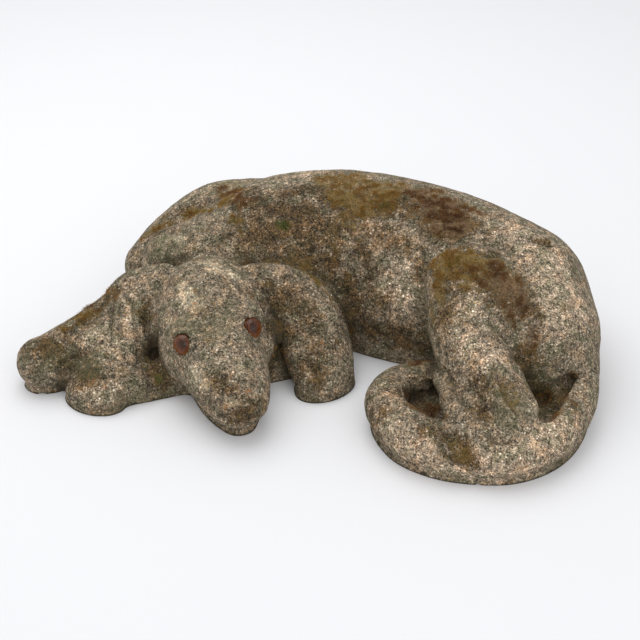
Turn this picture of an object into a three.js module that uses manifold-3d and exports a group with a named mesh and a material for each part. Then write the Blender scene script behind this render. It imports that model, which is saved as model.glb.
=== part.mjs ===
// A curled-up spaniel in cast stone with two glass eyes. Millimetres, +Z up, nose towards -Y.
// The stone is one solid. Its masses are distance fields that flow into each other, cut off flat
// underneath, and the eyes are balls let into sockets in the head.
import * as THREE from 'three';
import { mergeVertices } from 'three/addons/utils/BufferGeometryUtils.js';
import Module from 'manifold-3d';

// Driving sizes
const LENGTH = 600;           // fore paw to rump
const EYE_DIAMETER = 22;
const EYE_CLEARANCE = 0.3;    // between a glass eye and its socket
const EYE_PROUD = 0.34;       // share of an eye's diameter that stands out of the head

// Fineness: the net's cell on the carved figure, and how many facets are kept of it
const CELL = 4;
const STONE_FACETS = 9000;
const NET_LOW = [-312, -240, -8];
const NET_HIGH = [312, 230, 164];
const EYE_SEGMENTS = 18;

// The rows below are places and radii on a figure carved 600 mm long
const CARVED_LENGTH = 600;
const MIDDLE = [-0.2, -15.3];    // middle of the carved figure's outline on the ground
const SKIRT = 9;              // below it the sides go straight down to the ground

// Trunk, from the shoulders along the curved back to the rump: x, y, z, radius
const SPINE = [
  [-84, 75, 50, 74], [-30, 95, 55, 90], [35, 100, 55, 95], [100, 85, 52, 95], [158, 50, 52, 93],
  [206, 5, 53, 89],
];
const RUMP = { place: [225, -46, 52], radii: [71, 80, 66] };
const SHOULDER = [[-174, 89, 48, 31], [-144, 113, 62, 39], [-104, 131, 78, 45], [-64, 128, 83, 48]];
const NECK = [[-60, 56, 80, 42], [-104, 60, 80, 41], [-143, 63, 72, 36]];
const LOINS = [
  { place: [80, 8, 50], radii: [25, 34, 34] },
  { place: [108, 2, 60], radii: [22, 36, 34] },
];
const BELLY = [[10, 40, 28, 46], [50, 34, 26, 43], [84, 16, 24, 41], [124, -4, 24, 38]];

// Hind leg: the thigh stands proud of the rump, the shank runs down to the hock
const THIGH = [[162, -32, 98, 41], [178, -43, 98, 41], [195, -56, 90, 39]];
const SHANK = [
  [162, -30, 94, 41], [160, -72, 72, 41], [167, -115, 55, 36], [184, -156, 43, 29], [192, -178, 38, 25],
];
const HOCK = [[196, -106, 62, 8], [200, -142, 54, 10], [211, -172, 46, 9]];
const FOOT = [
  [131, -106, 38, 10], [141, -141, 39, 16], [149, -170, 38, 21], [157, -188, 32, 23], [171, -198, 26, 24],
];
const TAIL = [
  [268, -50, 42, 27], [265, -88, 32, 26], [256, -135, 24, 23], [229, -177, 22, 23], [190, -199, 24, 25],
  [146, -198, 23, 25], [114, -188, 23, 24], [91, -168, 24, 24], [77, -131, 26, 23], [89, -99, 27, 18],
  [116, -88, 28, 15],
];

// Fore leg under the right ear, with the paw at its end
const FORELEG = [
  [-156, 39, 50, 30], [-194, 4, 42, 28], [-230, -32, 34, 27], [-258, -56, 27, 28], [-270, -61, 25, 27],
];

// Head, in its own axes with the nose towards -Y, turned and leaning on the ground
const HEAD = { place: [-92, -60, 50], yaw: 11, roll: -7 };
const SKULL = { place: [0, 46, 12], radii: [56, 58, 50] };
const MUZZLE = [[0, 20, 4, 52], [0, -24, -2, 46], [6, -61, -12, 36.5], [8, -79, -16, 30]];
const JAW = [[0, 10, -24, 42], [5, -39, -26, 35], [8, -70, -25, 24]];
const HEAD_CORE = [0, 8, 6];
const EYES = [
  { name: 'right_glass_eye', towards: [-35, -31, 26] },
  { name: 'left_glass_eye', towards: [39.5, -24.5, 23.5] },
];
const EYE_PIT = { out: 15, radius: 17 };
const STOP = { place: [1, -40, 46], radii: [17, 26, 12] };
const BROW = { inward: [7, 18, 2], radii: [19, 14, 12] };
const CHEEK = { place: [42, 4, -8], radii: [18, 28, 24] };

// Hanging ears, and the stone left standing under the head between them
const LEFT_EAR = [
  [-54, -10, 86, 24], [-23, -13, 78, 30], [2, -21, 52, 38], [10, -48, 28, 38], [16, -69, 13, 34],
];
const RIGHT_EAR = [
  [-152, -3, 80, 25], [-183, -6, 68, 28], [-191, -36, 42, 36], [-207, -71, 22, 38], [-213, -91, 12, 34],
];
const CHIN_REST = [
  [-191, -86, 14, 19], [-161, -75, 13, 20], [-126, -64, 12, 19], [-90, -56, 8, 24], [-21, -32, 10, 24],
];
const CHEST = [[-168, -14, 36, 38], [-97, 47, 30, 50], [-10, 40, 34, 40]];
const FLOORS = [
  { place: [112, -126, -8], radii: [38, 56, 24] },
  { place: [224, -146, -6], radii: [34, 50, 32] },
  { place: [172, -124, -6], radii: [64, 66, 32] },
  { place: [-172, -16, 0], radii: [62, 54, 26] },
  { place: [-4, -16, -4], radii: [50, 46, 18] },
];
const EAR_HOLLOW = [[-166, -66, 54, 4], [-159, -80, 36, 9], [-150, -92, 20, 6]];
const TAIL_HOLE = [[107, -148, 64, 17], [111, -130, 32, 15]];
const FOOT_STEP = [[124, -181, 52, 4], [134, -211, 45, 9], [148, -224, 28, 9]];
const TAIL_POCKET = [[265, -106, 48, 3], [245, -130, 42, 8], [229, -150, 38, 13], [222, -174, 45, 7]];

// Grooves: rows of x, y, z, radius along the stone's face
const GROOVES = [
  [[184, -143, 81, 2], [186, -156, 76, 4], [189, -169, 70, 4], [195, -185, 63, 2]],
  [[-79, 78, 131, 2], [-75, 57, 128, 4], [-68, 38, 121, 4], [-62, 22, 109, 2]],
  [[164, -200, 52, 2], [176, -211, 51, 5], [188, -206, 53, 2]],
  [[-203, -8, 70, 2], [-228, -38, 58, 5], [-250, -68, 54, 2]],
  [[-211, -30, 62, 2], [-234, -64, 51, 5], [-262, -84, 45, 2]],
  [[166, -10, 142, 2], [184, -14, 140, 6], [204, -24, 135, 2]],
  [[196, 12, 147, 2], [214, 6, 145, 4], [236, -2, 138, 2]],
];

const scale = LENGTH / CARVED_LENGTH;

// Distance fields
const REACH = 30;             // beyond it a mass only says that it is far

const smoothLower = (a, b, width) => {
  const lap = Math.max(width - Math.abs(a - b), 0);
  return Math.min(a, b) - (width > 0 ? (lap * lap) / (4 * width) : 0);
};
const smoothUpper = (a, b, width) => -smoothLower(-a, -b, width);

// Rows along a smooth curve through the given rows
function curve(rows, steps) {
  if (rows.length < 3) return rows;
  const spline = (a, b, c, d, t) => 0.5 * (2 * b + (c - a) * t + (2 * a - 5 * b + 4 * c - d) * t * t
    + (3 * b - a - 3 * c + d) * t * t * t);
  const beyond = (end, next) => end.map((value, axis) => 2 * value - next[axis]);
  const all = [beyond(rows[0], rows[1]), ...rows, beyond(rows.at(-1), rows.at(-2))];
  const points = [];
  for (let i = 1; i < all.length - 2; i += 1) {
    for (let step = 0; step < steps; step += 1) {
      const [a, b, c, d] = all.slice(i - 1, i + 3);
      points.push(b.map((_, axis) => spline(a[axis], b[axis], c[axis], d[axis], step / steps)));
    }
  }
  return [...points, rows.at(-1)];
}

// A round section carried along rows of x, y, z, radius; flat squashes it along up
function limb(rows, { up = [0, 0, 1], flat = 1, steps = 8 } = {}) {
  const size = Math.hypot(...up);
  const [ux, uy, uz] = up.map((value) => value / size);
  const stretch = 1 / flat - 1;
  const points = curve(rows, steps);
  const low = [0, 1, 2].map((axis) => Math.min(...points.map((p) => p[axis] - p[3])) - REACH);
  const high = [0, 1, 2].map((axis) => Math.max(...points.map((p) => p[axis] + p[3])) + REACH);
  const spread = points.map(([x, y, z, radius]) => {
    const shift = stretch * (x * ux + y * uy + z * uz);
    return [x + shift * ux, y + shift * uy, z + shift * uz, radius];
  });
  const parts = spread.slice(1).map((end, i) => {
    const start = spread[i];
    const run = end.map((value, axis) => value - start[axis]);
    return [...start, ...run, 1 / (run[0] ** 2 + run[1] ** 2 + run[2] ** 2)];
  });
  const data = Float64Array.from(parts.flat());
  return (x, y, z) => {
    const far = Math.max(low[0] - x, x - high[0], 0) + Math.max(low[1] - y, y - high[1], 0)
      + Math.max(low[2] - z, z - high[2], 0);
    if (far > 0) return REACH + far;
    const shift = stretch * (x * ux + y * uy + z * uz);
    const [px, py, pz] = [x + shift * ux, y + shift * uy, z + shift * uz];
    let best = Infinity;
    for (let i = 0; i < data.length; i += 9) {
      const [qx, qy, qz] = [px - data[i], py - data[i + 1], pz - data[i + 2]];
      const along = (qx * data[i + 4] + qy * data[i + 5] + qz * data[i + 6]) * data[i + 8];
      const t = Math.min(1, Math.max(0, along));
      const [rx, ry, rz] = [qx - t * data[i + 4], qy - t * data[i + 5], qz - t * data[i + 6]];
      best = Math.min(best, Math.sqrt(rx * rx + ry * ry + rz * rz) - data[i + 3] - t * data[i + 7]);
    }
    return best * flat;
  };
}

// An ellipsoid, turned by a matrix whose columns are its axes
function ball({ place, radii }, axes = new THREE.Matrix4()) {
  const e = axes.elements;
  const margin = Math.max(...radii) + REACH;
  return (x, y, z) => {
    const [dx, dy, dz] = [x - place[0], y - place[1], z - place[2]];
    const far = Math.max(Math.abs(dx), Math.abs(dy), Math.abs(dz)) - margin;
    if (far > 0) return REACH + far;
    const a = (e[0] * dx + e[1] * dy + e[2] * dz) / radii[0];
    const b = (e[4] * dx + e[5] * dy + e[6] * dz) / radii[1];
    const c = (e[8] * dx + e[9] * dy + e[10] * dz) / radii[2];
    const inside = Math.hypot(a, b, c);
    return (inside * (inside - 1)) / Math.max(Math.hypot(a / radii[0], b / radii[1], c / radii[2]), 1e-6);
  };
}

// The first mass, then rows of [width of the blend, mass, 'cut' where it is taken away]
function blend(first, ...rest) {
  return (x, y, z) => rest.reduce((distance, [width, mass, cut]) => (cut
    ? smoothUpper(distance, -mass(x, y, z), width)
    : smoothLower(distance, mass(x, y, z), width)), first(x, y, z));
}

const headAxes = new THREE.Matrix4().makeRotationZ(THREE.MathUtils.degToRad(HEAD.yaw))
  .multiply(new THREE.Matrix4().makeRotationY(THREE.MathUtils.degToRad(HEAD.roll)));
const onHead = ([x, y, z, ...radius]) => [
  ...new THREE.Vector3(x, y, z).applyMatrix4(headAxes).add(new THREE.Vector3(...HEAD.place)), ...radius,
];
const headLimb = (rows, flat) => limb(rows.map(onHead), { flat });

function makeTrunk() {
  const [firstLoin, secondLoin] = LOINS;
  return blend(
    limb(SPINE, { steps: 12 }),
    [5, limb(SHOULDER)],
    [5, limb(NECK)],
    [16, ball(RUMP)],
    [14, limb(BELLY)],
    [10, ball(firstLoin)],
    [10, ball(secondLoin)],
  );
}

function makeHead() {
  const headBall = ({ place, radii }) => ball({ place: onHead(place), radii }, headAxes);
  const mirror = ([x, ...rest]) => [-x, ...rest];
  const brows = EYES.map(({ towards: [x, y, z] }) => headBall({
    place: [x - Math.sign(x) * BROW.inward[0], y + BROW.inward[1], z + BROW.inward[2]], radii: BROW.radii,
  }));
  const pits = EYES.map(({ towards }) => {
    const core = new THREE.Vector3(...HEAD_CORE);
    const out = new THREE.Vector3(...towards).sub(core).setLength(EYE_PIT.out);
    const place = out.add(new THREE.Vector3(...towards)).toArray();
    return headBall({ place, radii: [EYE_PIT.radius, EYE_PIT.radius, EYE_PIT.radius] });
  });
  return blend(
    headBall(SKULL),
    [18, headLimb(MUZZLE, 0.9)],
    [14, headLimb(JAW, 0.8)],
    [14, headBall(CHEEK)],
    [14, headBall({ ...CHEEK, place: mirror(CHEEK.place) })],
    ...brows.map((brow) => [12, brow]),
    [10, headBall(STOP), 'cut'],
    ...pits.map((pit) => [4, pit, 'cut']),
  );
}

const earSlab = { flat: 0.55 };
const carving = blend(
  makeTrunk(),
  [5, limb(TAIL)],
  [5, limb(FOOT_STEP), 'cut'],
  [3, blend(limb(THIGH), [14, limb(SHANK)], [6, limb(HOCK)])],
  [4, limb(FOOT)],
  ...FLOORS.map((floor) => [5, ball(floor)]),
  [8, limb(FORELEG)],
  [8, blend(limb(CHIN_REST), [10, limb(CHEST)])],
  [6, makeHead()],
  [4, limb(LEFT_EAR, { ...earSlab, up: [0.35, -0.55, 0.72] })],
  [4, limb(RIGHT_EAR, { ...earSlab, up: [-0.3, -0.6, 0.75] })],
  [8, limb(EAR_HOLLOW), 'cut'],
  [5, limb(TAIL_HOLE), 'cut'],
  [5, limb(TAIL_POCKET), 'cut'],
  ...GROOVES.map((rows) => [4, limb(rows), 'cut']),
);

// Fills corners of the grid until no square of it is in and out by turns, where a net would touch itself
function settle(at, stride) {
  const total = at.length;
  for (let changed = true; changed;) {
    changed = false;
    for (const [u, v] of [[stride[0], stride[1]], [stride[1], stride[2]], [stride[2], stride[0]]]) {
      for (let n = 0; n + u + v < total; n += 1) {
        const inside = at[n] < 0;
        const across = inside === (at[n + u + v] < 0);
        if (!across || inside === (at[n + u] < 0) || inside === (at[n + v] < 0)) continue;
        const [one, other] = inside ? [n + u, n + v] : [n, n + u + v];
        at[at[one] < at[other] ? one : other] = -1e-3;
        changed = true;
      }
    }
  }
}

// A closed net of triangles where the field crosses nought, by surface nets on cubes
function makeNet(field, low, high, cell) {
  const count = low.map((value, axis) => Math.ceil((high[axis] - value) / cell) + 1);
  const stride = [count[1] * count[2], count[2], 1];
  const total = count[0] * stride[0];
  const at = new Float32Array(total);
  for (let i = 0, n = 0; i < count[0]; i += 1) {
    for (let j = 0; j < count[1]; j += 1) {
      for (let k = 0; k < count[2]; k += 1, n += 1) {
        at[n] = field(low[0] + i * cell, low[1] + j * cell, low[2] + k * cell);
      }
    }
  }
  settle(at, stride);
  const corners = [0, 1, 2, 3, 4, 5, 6, 7].map((c) => [c >> 2, (c >> 1) & 1, c & 1]);
  const offset = corners.map((c) => c[0] * stride[0] + c[1] * stride[1] + c[2]);
  const edges = corners.flatMap((_, a) => [4, 2, 1].filter((bit) => !(a & bit)).map((bit) => [a, a | bit]));
  const own = new Int32Array(total).fill(-1);
  const points = [];
  const quads = [];
  for (let n = 0; n + offset[7] < total; n += 1) {
    const k = n % count[2];
    const j = Math.floor(n / count[2]) % count[1];
    if (k === count[2] - 1 || j === count[1] - 1) continue;
    const crossed = edges.filter(([a, b]) => (at[n + offset[a]] < 0) !== (at[n + offset[b]] < 0));
    if (crossed.length === 0) continue;
    const sum = [Math.floor(n / stride[0]), j, k];
    for (const [a, b] of crossed) {
      const t = at[n + offset[a]] / (at[n + offset[a]] - at[n + offset[b]]) / crossed.length;
      for (let axis = 0; axis < 3; axis += 1) {
        sum[axis] += corners[a][axis] / crossed.length + t * (corners[b][axis] - corners[a][axis]);
      }
    }
    own[n] = points.length;
    points.push(sum.map((value, axis) => low[axis] + value * cell));
    for (let axis = 0; axis < 3; axis += 1) {
      const inside = at[n] < 0;
      if (inside === (at[n + stride[axis]] < 0)) continue;
      const [u, v] = [stride[(axis + 1) % 3], stride[(axis + 2) % 3]];
      const quad = [own[n - u - v], own[n - v], own[n], own[n - u]];
      quads.push(inside ? quad : quad.reverse());
    }
  }
  return { points, faces: quads.flatMap(([a, b, c, d]) => [[a, b, c], [a, c, d]]) };
}

// Fewer triangles on the same form: edges are taken out in the order of the least quadric error
function thinOut({ points, faces }, target) {
  const quadric = points.map(() => new Float64Array(10));
  const around = points.map(() => new Set());
  const cross = ([a, b, c]) => {
    const [p, q, r] = [points[a], points[b], points[c]];
    const [ux, uy, uz] = [q[0] - p[0], q[1] - p[1], q[2] - p[2]];
    const [vx, vy, vz] = [r[0] - p[0], r[1] - p[1], r[2] - p[2]];
    return [uy * vz - uz * vy, uz * vx - ux * vz, ux * vy - uy * vx];
  };
  faces.forEach((face, f) => {
    const [x, y, z] = cross(face);
    const area = Math.hypot(x, y, z) || 1e-12;
    const [a, b, c] = [x / area, y / area, z / area];
    const p = points[face[0]];
    const d = -(a * p[0] + b * p[1] + c * p[2]);
    const plane = [a * a, a * b, a * c, a * d, b * b, b * c, b * d, c * c, c * d, d * d];
    for (const v of face) {
      around[v].add(f);
      plane.forEach((value, i) => { quadric[v][i] += value * area; });
    }
  });
  const miss = (q, [x, y, z]) => q[0] * x * x + 2 * q[1] * x * y + 2 * q[2] * x * z + 2 * q[3] * x
    + q[4] * y * y + 2 * q[5] * y * z + 2 * q[6] * y + q[7] * z * z + 2 * q[8] * z + q[9];
  // Best place for the joined vertex: the lowest miss of both ends, the middle and the quadric's own
  const plan = (a, b) => {
    const q = quadric[a].map((value, i) => value + quadric[b][i]);
    const [p, r] = [points[a], points[b]];
    const places = [p, r, p.map((value, axis) => (value + r[axis]) / 2)];
    const m = new THREE.Matrix3().set(q[0], q[1], q[2], q[1], q[4], q[5], q[2], q[5], q[7]);
    const size = Math.cbrt(Math.abs(m.determinant()));
    if (size > 1e-3 * (q[0] + q[4] + q[7])) {
      const best = new THREE.Vector3(-q[3], -q[6], -q[8]).applyMatrix3(m.invert());
      if (best.distanceTo(new THREE.Vector3(...places[2])) < 2 * Math.hypot(...p.map((v, i) => v - r[i]))) {
        places.push(best.toArray());
      }
    }
    const costs = places.map((place) => miss(q, place));
    const cost = Math.min(...costs);
    const length = Math.hypot(...p.map((value, axis) => value - r[axis]));
    return { a, b, cost: cost + 1e-3 * length ** 3, place: places[costs.indexOf(cost)], q };
  };
  const heap = [];
  const swap = (i, j) => { [heap[i], heap[j]] = [heap[j], heap[i]]; };
  const push = (item) => {
    let i = heap.push(item) - 1;
    while (i > 0 && heap[(i - 1) >> 1].cost > heap[i].cost) {
      swap(i, (i - 1) >> 1);
      i = (i - 1) >> 1;
    }
  };
  const pop = () => {
    swap(0, heap.length - 1);
    const item = heap.pop();
    for (let i = 0; ;) {
      let least = i;
      if (2 * i + 1 < heap.length && heap[2 * i + 1].cost < heap[least].cost) least = 2 * i + 1;
      if (2 * i + 2 < heap.length && heap[2 * i + 2].cost < heap[least].cost) least = 2 * i + 2;
      if (least === i) return item;
      swap(i, least);
      i = least;
    }
  };
  const turns = points.map(() => 0);
  const offer = (a, b) => push({ ...plan(a, b), turn: turns[a] + turns[b] });
  const neighbours = (v) => new Set([...around[v]].flatMap((f) => faces[f]).filter((n) => n !== v));
  faces.forEach((face) => face.forEach((a, i) => {
    const b = face[(i + 1) % 3];
    if (a < b) offer(a, b);
  }));
  let left = faces.length;
  while (left > target && heap.length > 0) {
    const { a, b, place, q, turn } = pop();
    if (turn !== turns[a] + turns[b] || around[a].size === 0 || around[b].size === 0) continue;
    const shared = [...around[a]].filter((f) => around[b].has(f));
    const nearB = neighbours(b);
    const common = [...neighbours(a)].filter((n) => nearB.has(n));
    if (shared.length !== 2 || common.length !== 2) continue;
    const kept = [...around[a], ...around[b]].filter((f) => !shared.includes(f));
    const before = kept.map((f) => cross(faces[f]));
    const [oldA, oldB] = [points[a], points[b]];
    points[a] = place;
    points[b] = place;
    const flips = kept.some((f, i) => {
      const [x, y, z] = cross(faces[f]);
      const [u, v, w] = before[i];
      return x * u + y * v + z * w < 0.5 * Math.hypot(x, y, z) * Math.hypot(u, v, w) + 1e-9;
    });
    if (flips) {
      points[a] = oldA;
      points[b] = oldB;
      continue;
    }
    for (const f of shared) faces[f].forEach((v) => around[v].delete(f));
    for (const f of around[b]) {
      faces[f] = faces[f].map((v) => (v === b ? a : v));
      around[a].add(f);
    }
    around[b].clear();
    quadric[a] = q;
    left -= 2;
    turns[a] += faces.length;
    for (const n of neighbours(a)) offer(a, n);
  }
  const alive = faces.filter((face, f) => around[face[0]].has(f));
  const names = new Map([...new Set(alive.flat())].map((v, i) => [v, i]));
  return {
    points: [...names.keys()].map((v) => points[v]),
    faces: alive.map((face) => face.map((v) => names.get(v))),
  };
}

const wasm = await Module();
wasm.setup();

const makeSolid = ({ points, faces }) => new wasm.Manifold(new wasm.Mesh({
  numProp: 3,
  vertProperties: Float32Array.from(points.flat()),
  triVerts: Uint32Array.from(faces.flat()),
}));

// A three.js geometry as a solid, with its shared corners merged
function solidOf(source) {
  const bare = source.clone();
  bare.deleteAttribute('normal');
  bare.deleteAttribute('uv');
  const merged = mergeVertices(bare, 1e-4);
  return new wasm.Manifold(new wasm.Mesh({
    numProp: 3,
    vertProperties: Float32Array.from(merged.attributes.position.array),
    triVerts: Uint32Array.from(merged.index.array),
  }));
}

// The largest closed shell, so that a hollow sealed inside the stone is filled
function outerShell({ points, faces }) {
  const parent = points.map((_, v) => v);
  const root = (v) => {
    let top = v;
    while (parent[top] !== top) {
      parent[top] = parent[parent[top]];
      top = parent[top];
    }
    return top;
  };
  for (const [a, b, c] of faces) {
    parent[root(a)] = root(b);
    parent[root(b)] = root(c);
  }
  const sizes = new Map();
  for (const [a] of faces) sizes.set(root(a), (sizes.get(root(a)) ?? 0) + 1);
  const [largest] = [...sizes].sort((one, other) => other[1] - one[1])[0];
  return { points, faces: faces.filter(([a]) => root(a) === largest) };
}

// A solid's outer shell as a three.js geometry
function geometryOf(solid) {
  const { vertProperties, triVerts } = solid.getMesh();
  const rows = (values) => Array.from(
    { length: values.length / 3 }, (_, i) => [...values.slice(3 * i, 3 * i + 3)],
  );
  const { points, faces } = outerShell({ points: rows(vertProperties), faces: rows(triVerts) });
  const geometry = new THREE.BufferGeometry();
  geometry.setAttribute('position', new THREE.Float32BufferAttribute(points.flat(), 3));
  geometry.setIndex(faces.flat());
  geometry.computeVertexNormals();
  return geometry;
}

// Carved millimetres to real ones, with the figure's middle over the origin
const toReal = ([x, y, z]) => [(x - MIDDLE[0]) * scale, (y - MIDDLE[1]) * scale, z * scale];

// An eye's centre: below the face of the head, along the way from the head's core
function eyePlace(towards) {
  const from = new THREE.Vector3(...onHead(HEAD_CORE));
  const way = new THREE.Vector3(...onHead(towards)).sub(from).normalize();
  const at = from.clone();
  const head = makeHead();
  while (head(...at) < -0.01) at.addScaledVector(way, -head(...at) / 2);
  return new THREE.Vector3(...toReal(at.toArray())).addScaledVector(way, (EYE_PROUD - 0.5) * EYE_DIAMETER);
}

const eyeBall = (diameter) => new THREE.SphereGeometry(diameter / 2, EYE_SEGMENTS, (2 * EYE_SEGMENTS) / 3);

function makeStone() {
  const under = 2 * CELL;
  const net = makeNet(
    (x, y, z) => Math.max(carving(x, y, Math.max(z, SKIRT)), -under - z),
    NET_LOW.map((value) => value - CELL),
    NET_HIGH,
    CELL,
  );
  const { points, faces } = thinOut(net, STONE_FACETS);
  const ground = new THREE.BoxGeometry(2 * LENGTH, 2 * LENGTH, LENGTH).translate(0, 0, -LENGTH / 2);
  const sockets = EYES.map(({ towards }) => solidOf(
    eyeBall(EYE_DIAMETER + 2 * EYE_CLEARANCE).translate(...eyePlace(towards)),
  ));
  return sockets.reduce((stone, socket) => stone.subtract(socket),
    makeSolid({ points: points.map(toReal), faces }).subtract(solidOf(ground)));
}

const stoneMaterial = new THREE.MeshStandardMaterial({ color: 0x8c8474, roughness: 0.95, metalness: 0 });
const statue = new THREE.Group();
const stone = new THREE.Mesh(geometryOf(makeStone()), stoneMaterial);
stone.name = 'stone_spaniel';
statue.add(stone);

for (const { name, towards } of EYES) {
  const glass = new THREE.MeshStandardMaterial({ color: 0x7a2f12, roughness: 0.08, metalness: 0 });
  const eye = new THREE.Mesh(geometryOf(solidOf(eyeBall(EYE_DIAMETER))), glass);
  eye.name = name;
  eye.position.copy(eyePlace(towards));
  statue.add(eye);
}

export default statue;
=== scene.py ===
"""A curled-up spaniel in weathered cast stone, with amber glass eyes and moss.

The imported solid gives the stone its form. Here its masses are worked finer, weathered and coloured,
and the glass eyes get their irises. Rows of x, y, z, radius are millimetres on the carved figure.
"""

import itertools
import math

import bmesh
import bpy
import numpy as np
from bpy.props import FloatProperty, FloatVectorProperty, IntProperty, PointerProperty
from mathutils import Matrix, Vector


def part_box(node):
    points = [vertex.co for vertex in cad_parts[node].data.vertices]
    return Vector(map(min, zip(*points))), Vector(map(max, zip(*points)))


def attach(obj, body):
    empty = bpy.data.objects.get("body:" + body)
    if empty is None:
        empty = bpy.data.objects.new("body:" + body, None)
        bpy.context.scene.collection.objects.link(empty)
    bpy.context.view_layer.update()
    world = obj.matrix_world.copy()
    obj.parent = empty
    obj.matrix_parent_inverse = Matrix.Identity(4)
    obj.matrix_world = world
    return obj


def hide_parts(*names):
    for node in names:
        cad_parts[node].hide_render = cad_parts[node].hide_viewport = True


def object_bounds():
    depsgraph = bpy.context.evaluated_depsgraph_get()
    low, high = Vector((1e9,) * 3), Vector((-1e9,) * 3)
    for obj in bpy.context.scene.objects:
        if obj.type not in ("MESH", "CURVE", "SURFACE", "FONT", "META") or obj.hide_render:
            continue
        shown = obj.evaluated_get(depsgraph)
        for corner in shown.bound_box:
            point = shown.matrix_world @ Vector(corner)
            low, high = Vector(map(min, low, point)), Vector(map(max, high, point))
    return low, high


bl_info = {
    "name": "Garden Spaniel",
    "version": (1, 0, 0),
    "blender": (4, 5, 0),
    "location": "View3D > Sidebar > Garden Spaniel",
    "description": "Weathered stone, glass eyes and moss of a curled-up garden spaniel",
    "category": "Object",
}

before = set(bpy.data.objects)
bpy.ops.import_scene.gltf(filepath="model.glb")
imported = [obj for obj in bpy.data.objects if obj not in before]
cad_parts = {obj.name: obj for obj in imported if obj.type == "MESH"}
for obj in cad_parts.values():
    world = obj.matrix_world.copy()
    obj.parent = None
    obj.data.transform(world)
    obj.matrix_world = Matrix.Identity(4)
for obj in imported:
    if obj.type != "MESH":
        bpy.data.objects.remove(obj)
CAD_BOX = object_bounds()

MM = 0.001
STONE_NODE = "stone_spaniel"

# The point of the carved figure that stands over the model's origin
MIDDLE = np.array([-0.2, -15.3, 0.0])
SKIRT = 9.0  # below it the sides go straight down to the ground

# The photographer's view: what it is centred on, how far away and how high up it is taken
LOOK_AT = np.array([0.0122, -0.0067, 0.050])
VIEW_DISTANCE = 1.285
VIEW_ELEVATION = math.radians(34)
VIEW_LENS = 70.0
VIEW_SENSOR = 36.0
PICTURE_SIZE = 640

# Masses of the carved figure
SPINE = [
    (-84, 75, 50, 74), (-30, 95, 55, 90), (35, 100, 55, 95),
    (100, 85, 52, 95), (158, 50, 52, 93), (206, 5, 53, 89),
]
RUMP = ((225, -46, 52), (71, 80, 66))
SHOULDER = [(-174, 89, 48, 31), (-144, 113, 62, 39), (-104, 131, 78, 45), (-64, 128, 83, 48)]
NECK = [(-60, 56, 80, 42), (-104, 60, 80, 41), (-143, 63, 72, 36)]
LOINS = [((80, 8, 50), (25, 34, 34)), ((108, 2, 60), (22, 36, 34))]
BELLY = [(10, 40, 28, 46), (50, 34, 26, 43), (84, 16, 24, 41), (124, -4, 24, 38)]
THIGH = [(162, -32, 98, 41), (178, -43, 98, 41), (195, -56, 90, 39)]
SHANK = [
    (162, -30, 94, 41), (160, -72, 72, 41), (167, -115, 55, 36), (184, -156, 43, 29),
    (192, -178, 38, 25),
]
HOCK = [(196, -106, 62, 8), (200, -142, 54, 10), (211, -172, 46, 9)]
FOOT = [
    (131, -106, 38, 10), (141, -141, 39, 16), (149, -170, 38, 21), (157, -188, 32, 23),
    (171, -198, 26, 24),
]
TAIL = [
    (268, -50, 42, 27), (265, -88, 32, 26), (256, -135, 24, 23), (229, -177, 22, 23),
    (190, -199, 24, 25), (146, -198, 23, 25), (114, -188, 23, 24), (91, -168, 24, 24),
    (77, -131, 26, 23), (89, -99, 27, 18), (116, -88, 28, 15),
]
FORELEG = [
    (-156, 39, 50, 30), (-194, 4, 42, 28), (-230, -32, 34, 27), (-258, -56, 27, 28),
    (-270, -61, 25, 27),
]
CHIN_REST = [
    (-191, -86, 14, 19), (-161, -75, 13, 20), (-126, -64, 12, 19), (-90, -56, 8, 24),
    (-21, -32, 10, 24),
]
CHEST = [(-168, -14, 36, 38), (-97, 47, 30, 50), (-10, 40, 34, 40)]
FLOORS = [
    ((112, -126, -8), (38, 56, 24)),
    ((224, -146, -6), (34, 50, 32)),
    ((172, -124, -6), (64, 66, 32)),
    ((-172, -16, 0), (62, 54, 26)),
    ((-4, -16, -4), (50, 46, 18)),
    ((124, -92, 14), (13, 15, 17)),  # between the tail's tip and the thigh
]
LEFT_EAR = [
    (-54, -10, 86, 24), (-23, -13, 78, 30), (2, -21, 52, 38), (10, -48, 28, 38), (16, -69, 13, 34),
]
RIGHT_EAR = [
    (-152, -3, 80, 25), (-183, -6, 68, 28), (-191, -36, 42, 36), (-207, -71, 22, 38),
    (-213, -91, 12, 34),
]
EAR_FLATNESS = 0.55
EAR_HOLLOW = [(-166, -66, 54, 4), (-159, -80, 36, 9), (-150, -92, 20, 6)]
TAIL_HOLE = [(107, -148, 64, 17), (111, -130, 32, 15)]
FOOT_STEP = [(124, -181, 52, 4), (134, -211, 45, 9), (148, -224, 28, 9)]
TAIL_POCKET = [(265, -106, 48, 3), (245, -130, 42, 8), (229, -150, 38, 13), (222, -174, 45, 7)]
GROOVES = [
    [(184, -143, 81, 2), (186, -156, 76, 4), (189, -169, 70, 4), (195, -185, 63, 2)],
    [(-79, 78, 131, 2), (-75, 57, 128, 4), (-68, 38, 121, 4), (-62, 22, 109, 2)],
    [(164, -200, 52, 2), (176, -211, 51, 5), (188, -206, 53, 2)],
    [(-203, -8, 70, 2), (-228, -38, 58, 5), (-250, -68, 54, 2)],
    [(-211, -30, 62, 2), (-234, -64, 51, 5), (-262, -84, 45, 2)],
    [(166, -10, 142, 2), (184, -14, 140, 6), (204, -24, 135, 2)],
    [(196, 12, 147, 2), (214, 6, 145, 4), (236, -2, 138, 2)],
]

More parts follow.
